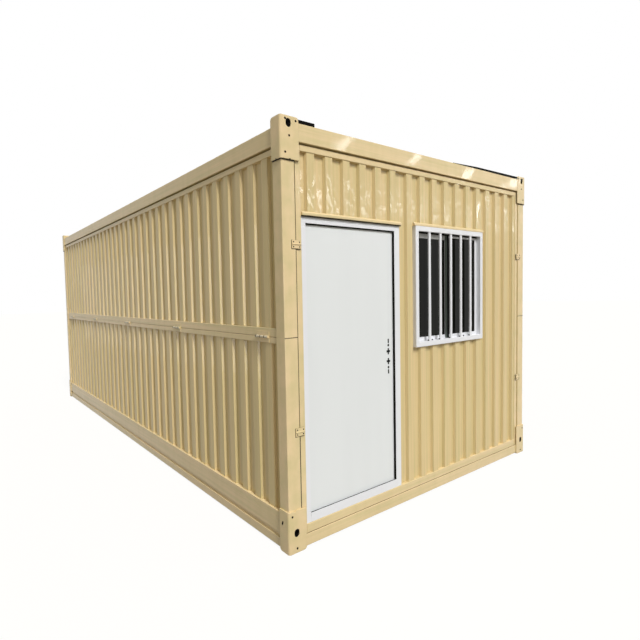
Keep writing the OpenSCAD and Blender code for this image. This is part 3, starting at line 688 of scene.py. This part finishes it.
class HOUSE_OT_sealant_and_shade(bpy.types.Operator):
    """Adds painted shade below and beside the top fittings, in the door-side gaps, under the door's drip
    cap and along the bottom rails, and sealant in the posts' joints and the other gaps
    """

    bl_idname = "house.sealant"
    bl_label = "Add sealant and painted shade"

    def execute(self, context):
        self.dark = bmesh.new()
        self.brown = bmesh.new()
        self.pale = bmesh.new()
        for corner in CORNERS:
            self.seal_corner(corner)
        self.seal_bottom_rails()
        self.seal_door_head()
        new_piece("dark_joints_and_painted_shade", self.dark, "Dark sealant and painted shade")
        new_piece("brown_painted_shade_lines", self.brown, "Brown painted shade")
        new_piece("pale_gap_seals", self.pale, "Cream sealant")
        return {"FINISHED"}

    def seal_corner(self, corner):
        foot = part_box("top_corner_fittings")[0].z
        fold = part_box("upper_posts")[0].z
        bottom_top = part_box("bottom_corner_fittings")[1].z
        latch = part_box("wall_latches")[0].z
        # Painted shade under the top fitting, and in the half holes of its lower edge
        self.corner_block(self.dark, corner, (4, 110), (4, 93.5), (foot - 6 * MM, foot))
        notch = (foot - 5 * MM, foot + 4 * MM)
        self.corner_block(self.dark, corner, (68, 78), (1, 8), notch)
        self.corner_block(self.dark, corner, (1, 8), (42, 52), notch)
        # Painted shade in the gap between the top fitting and the end wall
        stile_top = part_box("end_wall_stiles")[1].z
        self.corner_block(self.dark, corner, (143.2, 147), (8, 14), (foot, stile_top))
        # In the post's joint
        self.corner_block(self.dark, corner, (9.5, 109.7), (8.3, 30), (fold - 2 * MM, fold + 2 * MM))
        # The gap beside the wall is open at the door's side and holds painted shade, dark below the latch
        # and brown above it; at the other side it is filled with cream
        gap = (109.2, 117.8)
        gap_top = foot - 1 * MM
        if corner[0] == corner[1]:
            self.corner_block(self.dark, corner, gap, (11.5, 60), (bottom_top, latch))
            self.corner_block(self.brown, corner, gap, (13, 60), (latch, gap_top))
        else:
            self.corner_block(self.pale, corner, gap, (12, 60), (bottom_top, gap_top))

    def corner_block(self, bm, corner, across, back, heights):
        """A block at a corner of the house, by its distances in millimetres from the outer sides."""
        side, end = corner
        xs = sorted(side * (HALF_WIDTH - s * MM) for s in across)
        ys = sorted(end * (HALF_LENGTH - d * MM) for d in back)
        add_block(bm, (xs[0], ys[0], heights[0]), (xs[1], ys[1], heights[1]), 0.4 * MM)

    def seal_bottom_rails(self):
        # A thin brown line along each bottom rail's joint with its beam is painted shade
        rail_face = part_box("end_wall_rails")[1].y
        beam_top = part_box("bottom_end_beams")[1].z
        reach = HALF_WIDTH - 144 * MM
        for end in SIDES:
            ys = sorted((end * rail_face, end * (rail_face + 2.5 * MM)))
            add_block(self.brown, (-reach, ys[0], beam_top), (reach, ys[1], beam_top + 1.8 * MM), 0.4 * MM)

    def seal_door_head(self):
        # A dark strip in the gap under the door's drip cap is painted shade
        low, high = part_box("door_frame")
        cap_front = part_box("drip_caps")[0].y
        add_block(self.dark, (low.x, cap_front + 5 * MM, high.z),
                  (high.x + 4 * MM, low.y, high.z + 7 * MM), 0.4 * MM)


class HOUSE_OT_latch_details(bpy.types.Operator):
    """Adds a painted shadow round the edges of the wall latches, and their bolt heads"""

    bl_idname = "house.latch_details"
    bl_label = "Add latch details"

    def execute(self, context):
        low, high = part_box("wall_latches")
        half_width = 36 * MM
        half_height = 26 * MM
        middle = high.x - half_width
        bolt_face = HALF_LENGTH - 5 * MM
        # Bolts from the latch's middle, outward and up, in millimetres
        bolt_places = ((-24, 13), (-24, -15), (24, 15), (24, -15))
        shadow_edge = bmesh.new()
        heads = bmesh.new()
        for end in SIDES:
            ys = sorted((end * (HALF_LENGTH - 8.2 * MM), end * (HALF_LENGTH - 9 * MM)))
            for side in SIDES:
                x = side * middle
                for z in (low.z + half_height, high.z - half_height):
                    # A painted shadow: a thin dark edge at the left of the latch, above it and below it
                    add_block(shadow_edge, (x - half_width - 3 * MM, ys[0], z - half_height - 4 * MM),
                              (x + half_width, ys[1], z + half_height + 1 * MM), 0.3 * MM)
                    for dx, dz in bolt_places:
                        place = (x + side * dx * MM, end * bolt_face, z + dz * MM)
                        add_screw(heads, place, (0, end, 0), 4.5 * MM)
        new_piece("latch_painted_shadow", shadow_edge, "Dark sealant and painted shade")
        new_piece("latch_bolt_heads", heads, "Dark steel and painted shade")
        return {"FINISHED"}


class HOUSE_OT_hinge_sleeves(bpy.types.Operator):
    """Adds the pale sleeves on the knuckles of the fold hinges, a painted highlight, and dark rings between
    them, painted shade in the gaps
    """

    bl_idname = "house.hinge_sleeves"
    bl_label = "Add hinge sleeves"

    def execute(self, context):
        # Hinges along a side, and the length of one
        count = 5
        length = 135 * MM
        sleeve_half = 16 * MM
        sleeve_radius = 8.4 * MM
        gap_shade_radius = 8.2 * MM
        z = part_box("upper_posts")[0].z - 1 * MM
        sleeves = bmesh.new()
        gap_shades = bmesh.new()
        for node, side in (("left_fold_hinges", -1), ("right_fold_hinges", 1)):
            low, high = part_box(node)
            pitch = (high.y - low.y - length) / (count - 1)
            x = side * (max(abs(low.x), abs(high.x)) - 8 * MM)
            for i in range(count):
                middle = low.y + length / 2 + i * pitch
                for part in (-1, 0, 1):
                    y = middle + part * length / 3
                    edge = y + length / 6
                    add_rod(sleeves, (x, y - sleeve_half, z), (x, y + sleeve_half, z), sleeve_radius, 20)
                    add_rod(gap_shades, (x, edge - 5 * MM, z), (x, edge + 2 * MM, z), gap_shade_radius, 20)
        new_piece("hinge_gap_painted_shade", gap_shades, "Dark steel and painted shade")
        new_piece("hinge_sleeves", sleeves, "Pale hinge highlight paint")
        return {"FINISHED"}


class HOUSE_OT_rib_caps(bpy.types.Operator):
    """Closes the open ends of the roof's ribs with welded caps"""

    bl_idname = "house.rib_caps"
    bl_label = "Add rib caps"

    def execute(self, context):
        low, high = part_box("roof_sheet")
        # Spacing of the ribs, and the width of one at its crest and at its foot
        pitch = 158.5 * MM
        crest = 64 * MM
        foot = 80 * MM
        height = high.z - low.z - 0.6 * MM
        length = high.y - low.y
        count = int(length / pitch)
        first = low.y + (length - (count - 1) * pitch) / 2
        caps = bmesh.new()
        for side in SIDES:
            x = side * (high.x - 2 * MM)
            for i in range(count):
                middle = Vector((x, first + i * pitch, (low.z + high.z) / 2))
                self.add_cap(caps, middle, crest, foot, height)
        new_piece("rib_caps", caps, "Cream gloss enamel")
        return {"FINISHED"}

    def add_cap(self, caps, middle, crest, foot, height):
        place = Matrix.Translation(middle) @ Matrix.Diagonal((2 * MM, foot, height, 1))
        verts = bmesh.ops.create_cube(caps, size=1, matrix=place)["verts"]
        top = [vert for vert in verts if vert.co.z > middle.z]
        bmesh.ops.scale(caps, vec=(1, crest / foot, 1), space=Matrix.Translation(-middle), verts=top)


class HOUSE_OT_inner_trim(bpy.types.Operator):
    """Adds the skirting, the corner strips and the joint covers of the inner walls"""

    bl_idname = "house.inner_trim"
    bl_label = "Add inner trim"

    def execute(self, context):
        sizes = context.scene.house_sizes
        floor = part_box("floor_panel")[1].z
        skirting_top = floor + sizes.skirting
        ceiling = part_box("ceiling_panel")[0].z
        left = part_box("left_lower_lining")[1].x
        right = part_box("right_lower_lining")[0].x
        beside_door, front_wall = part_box("front_lining_beside_door")
        front = front_wall.y
        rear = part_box("rear_lining")[0].y
        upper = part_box("left_upper_lining")[1].z
        board = 8 * MM
        cover = 3 * MM
        cover_half = 20 * MM
        strip = 40 * MM
        edge = 1.5 * MM
        trim = bmesh.new()
        for wall, inward in ((left, 1), (right, -1)):
            inner = wall + inward * board
            near, far = min(wall, inner), max(wall, inner)
            add_block(trim, (near, front + 2 * MM, floor), (far, rear, skirting_top), edge)
            add_block(trim, (near, front + 2 * MM, upper - strip), (far, rear, upper), edge)
            count = int((rear - front) / sizes.panel_width)
            for i in range(1, count + 1):
                y = front + i * sizes.panel_width
                face = wall + inward * cover
                add_block(trim, (min(wall, face), y - cover_half, skirting_top),
                          (max(wall, face), y + cover_half, upper - strip), 1 * MM)
        inner_left, inner_right = left + board, right - board
        add_block(trim, (inner_left, rear - board, floor), (inner_right, rear, skirting_top), edge)
        add_block(trim, (inner_left, rear - board, ceiling - 42 * MM),
                  (inner_right, rear, ceiling - 2 * MM), edge)
        add_block(trim, (beside_door.x + 4 * MM, front, floor),
                  (inner_right, front + board, skirting_top), edge)
        new_piece("inner_trim", trim, "White powder coat")
        return {"FINISHED"}


class HOUSE_OT_stage(bpy.types.Operator):
    """Sets the pale floor, the studio light, the card that gloss reflects and the camera"""

    bl_idname = "house.stage"
    bl_label = "Set the stage"

    def execute(self, context):
        self.floor()
        self.world()
        self.lamps()
        self.reflection_card()
        self.camera()
        context.scene.view_settings.view_transform = "Standard"
        return {"FINISHED"}

    def floor(self):
        bm = bmesh.new()
        bmesh.ops.create_circle(bm, cap_ends=True, radius=60, segments=96)
        material = bare_material("Studio floor")
        floor = add_object("studio_floor", bm, material)
        tree = material.node_tree
        shows = self.background_rays(tree)
        paint = add_node(tree, "ShaderNodeBsdfDiffuse", {"Color": rgba(linear("#908C80"))})
        white = add_node(tree, "ShaderNodeEmission", {"Color": (1, 1, 1, 1), "Strength": 1.3})
        # The rest of what is seen is the lit paint, which holds the shadow
        seen = add_node(tree, "ShaderNodeMath", {0: shows, 1: 0.7}, operation="MULTIPLY")
        shade = add_node(tree, "ShaderNodeMixShader", {
            0: seen.outputs["Value"], 1: paint.outputs["BSDF"], 2: white.outputs["Emission"]})
        add_node(tree, "ShaderNodeOutputMaterial", {"Surface": shade.outputs["Shader"]})

    def background_rays(self, tree):
        """One for the rays that see the white background, in the camera, in gloss and through glass."""
        path = add_node(tree, "ShaderNodeLightPath")
        gloss = add_node(tree, "ShaderNodeMath", {
            0: path.outputs["Is Camera Ray"], 1: path.outputs["Is Glossy Ray"]}, operation="MAXIMUM")
        glass = add_node(tree, "ShaderNodeMath", {
            0: gloss.outputs["Value"], 1: path.outputs["Is Transmission Ray"]}, operation="MAXIMUM")
        return glass.outputs["Value"]

    def world(self):
        # Soft light, brighter from above
        world = bpy.data.worlds.new("Studio")
        bpy.context.scene.world = world
        world.use_nodes = True
        tree = world.node_tree
        tree.nodes.clear()
        shows = self.background_rays(tree)
        ray = add_node(tree, "ShaderNodeTexCoord")
        parts = add_node(tree, "ShaderNodeSeparateXYZ", {"Vector": ray.outputs["Generated"]})
        level = add_node(tree, "ShaderNodeMapRange", {
            "Value": parts.outputs["Z"], "From Min": 0.0, "From Max": 1.0, "To Min": 0.21, "To Max": 0.62})
        light = add_node(tree, "ShaderNodeBackground", {
            "Color": (1.0, 0.98, 0.92, 1), "Strength": level.outputs["Result"]})
        white = add_node(tree, "ShaderNodeBackground", {"Color": (1, 1, 1, 1), "Strength": 1.0})
        mix = add_node(tree, "ShaderNodeMixShader", {
            0: shows, 1: light.outputs["Background"], 2: white.outputs["Background"]})
        add_node(tree, "ShaderNodeOutputWorld", {"Surface": mix.outputs["Shader"]})

    def lamps(self):
        # The key is tall: two lamps above one another, a little to the left of the front
        turn = math.radians(10.5)
        for height, energy in ((52, 1.56), (40, 1.33)):
            lift = math.radians(height)
            toward = Vector((math.sin(turn) * math.cos(lift), math.cos(turn) * math.cos(lift),
                             -math.sin(lift)))
            sun = bpy.data.lights.new("Key lamp", "SUN")
            sun.energy = energy
            sun.angle = math.radians(9)
            key = bpy.data.objects.new("Key lamp", sun)
            key.rotation_euler = toward.to_track_quat("-Z", "Y").to_euler()
            bpy.context.scene.collection.objects.link(key)
        # Two narrow panels show as upright glints in the wall over the window
        self.panel((9.68, -8.0, 3.88), width=0.08, height=0.6, energy=4)
        self.panel((10.19, -8.0, 4.12), width=0.08, height=0.5, energy=4)
        # A tall panel straight ahead of the left wall shows in the flanks of its corrugations
        self.panel((-5.3, -8.0, 1.4), width=6.2, height=3.0, energy=330)

    def panel(self, place, width, height, energy):
        light = bpy.data.lights.new("Panel", "AREA")
        light.shape = "RECTANGLE"
        light.size = width
        light.size_y = height
        light.energy = energy
        panel = bpy.data.objects.new("Panel", light)
        panel.location = place
        panel.rotation_euler = Vector((0, 1, -0.2)).to_track_quat("-Z", "Y").to_euler()
        panel.visible_camera = False
        panel.visible_diffuse = False
        bpy.context.scene.collection.objects.link(panel)

    def reflection_card(self):
        # A card in front of the house that only gloss sees: thin slanted strokes of light low down, which
        # the wavy sheets break up, and patches higher up, which show in the beam
        width, height = 9, 2
        middle = (7.5, -8.0, 4.2)
        upright = Matrix.Rotation(math.pi / 2, 4, "X")
        place = Matrix.Translation(middle) @ upright @ Matrix.Diagonal((width, height, 1, 1))
        bm = bmesh.new()
        bmesh.ops.create_grid(bm, x_segments=1, y_segments=1, size=0.5)
        bmesh.ops.transform(bm, matrix=place, verts=bm.verts)
        material = bare_material("Reflection card")
        card = add_object("reflection_card", bm, material)
        card.visible_camera = False
        card.visible_diffuse = False
        card.visible_shadow = False
        tree = material.node_tree
        coords = add_node(tree, "ShaderNodeTexCoord").outputs["Object"]
        parts = add_node(tree, "ShaderNodeSeparateXYZ", {"Vector": coords})
        total = add_node(tree, "ShaderNodeMath", {
            0: self.card_strokes(tree, coords, parts), 1: self.card_patches(tree, parts)}, operation="ADD")
        glow = add_node(tree, "ShaderNodeEmission", {
            "Color": (1, 1, 1, 1), "Strength": total.outputs["Value"]})
        clear = add_node(tree, "ShaderNodeBsdfTransparent")
        shade = add_node(tree, "ShaderNodeAddShader", {
            0: glow.outputs["Emission"], 1: clear.outputs["BSDF"]})
        add_node(tree, "ShaderNodeOutputMaterial", {"Surface": shade.outputs["Shader"]})

    def card_strokes(self, tree, coords, parts):
        # Strokes are about 50 mm wide, 200 mm apart, lean by 20 degrees and break up every 350 mm
        slant = add_node(tree, "ShaderNodeMapping", {
            "Vector": coords, "Rotation": (0, math.radians(20), 0)})
        strokes = add_node(tree, "ShaderNodeTexWave", {
            "Vector": slant.outputs["Vector"], "Scale": 1.6, "Distortion": 5.0, "Detail": 1.0,
            "Detail Scale": 2.5}, wave_type="BANDS", bands_direction="X")
        sharp = add_node(tree, "ShaderNodeMapRange", {
            "Value": strokes.outputs["Fac"], "From Min": 0.72, "From Max": 1.0, "To Max": 12.0})
        breaks = add_node(tree, "ShaderNodeTexNoise", {
            "Vector": coords, "Scale": per_metre(350), "Detail": 1.0})
        pieces = add_node(tree, "ShaderNodeMapRange", {
            "Value": breaks.outputs["Fac"], "From Min": 0.33, "From Max": 0.46})
        broken = add_node(tree, "ShaderNodeMath", {
            0: sharp.outputs["Result"], 1: pieces.outputs["Result"]}, operation="MULTIPLY")
        # Strokes toward the left are seen more squarely, so they are brighter
        gain = add_node(tree, "ShaderNodeMapRange", {
            "Value": parts.outputs["X"], "From Min": 3.0, "From Max": 7.5, "To Min": 1.9, "To Max": 1.0})
        bright = add_node(tree, "ShaderNodeMath", {
            0: broken.outputs["Value"], 1: gain.outputs["Result"]}, operation="MULTIPLY")
        band = self.level_band(tree, parts.outputs["Z"], middle=3.75, reach=0.5)
        wisps = add_node(tree, "ShaderNodeMath", {
            0: bright.outputs["Value"], 1: band}, operation="MULTIPLY")
        return wisps.outputs["Value"]

    def card_patches(self, tree, parts):
        # Patches are about 2.5 m apart and lean to the right
        lean = add_node(tree, "ShaderNodeMath", {
            0: parts.outputs["Z"], 1: -3.5, 2: 20.865}, operation="MULTIPLY_ADD")
        spread = add_node(tree, "ShaderNodeMath", {
            0: parts.outputs["X"], 1: 2.5, 2: lean.outputs["Value"]}, operation="MULTIPLY_ADD")
        swing = add_node(tree, "ShaderNodeMath", {0: spread.outputs["Value"]}, operation="SINE")
        patch = add_node(tree, "ShaderNodeMapRange", {
            "Value": swing.outputs["Value"], "From Min": 0.82, "From Max": 1.0, "To Max": 22.0})
        band = self.level_band(tree, parts.outputs["Z"], middle=4.95, reach=0.25)
        patches = add_node(tree, "ShaderNodeMath", {
            0: patch.outputs["Result"], 1: band}, operation="MULTIPLY")
        return patches.outputs["Value"]

    def level_band(self, tree, height, middle, reach):
        """One at a height in metres, falling to zero at its reach above and below."""
        off = add_node(tree, "ShaderNodeMath", {0: height, 1: middle}, operation="SUBTRACT")
        away = add_node(tree, "ShaderNodeMath", {0: off.outputs["Value"]}, operation="ABSOLUTE")
        band = add_node(tree, "ShaderNodeMapRange", {
            "Value": away.outputs["Value"], "From Min": reach * 0.5, "From Max": reach, "To Min": 1.0,
            "To Max": 0.0})
        return band.outputs["Result"]

    def camera(self):
        lens = bpy.data.cameras.new("Camera")
        lens.sensor_width = 36.0
        image_px = 640.0
        focal_px = 450.396
        centre_px = (257.859, 318.698)
        lens.lens = lens.sensor_width * focal_px / image_px
        lens.shift_x = 0.5 - centre_px[0] / image_px
        lens.shift_y = centre_px[1] / image_px - 0.5
        camera = bpy.data.objects.new("Camera", lens)
        right = Vector((0.819676, -0.572250, -0.025695))
        down = Vector((-0.051079, -0.028340, -0.998292))
        forward = Vector((0.570545, 0.819589, -0.052460))
        place = Matrix((right, -down, -forward)).transposed().to_4x4()
        place.translation = Vector((-3.169061, -5.077926, 1.617691))
        camera.matrix_world = place
        bpy.context.scene.collection.objects.link(camera)
        bpy.context.scene.camera = camera


OPERATORS = (
    HOUSE_OT_materials, HOUSE_OT_finish_nodes, HOUSE_OT_window_bars, HOUSE_OT_window_fittings,
    HOUSE_OT_lock_inserts, HOUSE_OT_threshold, HOUSE_OT_fitting_details, HOUSE_OT_sealant_and_shade,
    HOUSE_OT_latch_details, HOUSE_OT_hinge_sleeves, HOUSE_OT_rib_caps, HOUSE_OT_inner_trim, HOUSE_OT_stage,
)


class HOUSE_PT_panel(bpy.types.Panel):
    """Lists the steps that dress the house"""

    bl_idname = "HOUSE_PT_panel"
    bl_label = "Folding container house"
    bl_space_type = "VIEW_3D"
    bl_region_type = "UI"
    bl_category = "House"

    def draw(self, context):
        for step in OPERATORS:
            self.layout.operator(step.bl_idname)


CLASSES = (HousePaint, HouseSizes, *OPERATORS, HOUSE_PT_panel)


def register():
    for item in CLASSES:
        bpy.utils.register_class(item)
    bpy.types.Scene.house_paint = PointerProperty(type=HousePaint)
    bpy.types.Scene.house_sizes = PointerProperty(type=HouseSizes)


def unregister():
    del bpy.types.Scene.house_sizes
    del bpy.types.Scene.house_paint
    for item in reversed(CLASSES):
        bpy.utils.unregister_class(item)


def main():
    register()
    bpy.ops.house.materials()
    bpy.ops.house.finish_nodes()
    bpy.ops.house.window_bars()
    bpy.ops.house.window_fittings()
    bpy.ops.house.lock_inserts()
    bpy.ops.house.threshold()
    bpy.ops.house.fitting_details()
    bpy.ops.house.sealant()
    bpy.ops.house.latch_details()
    bpy.ops.house.hinge_sleeves()
    bpy.ops.house.rib_caps()
    bpy.ops.house.inner_trim()
    bpy.ops.house.stage()
    bpy.context.view_layer.update()


if __name__ == "__main__":
    main()
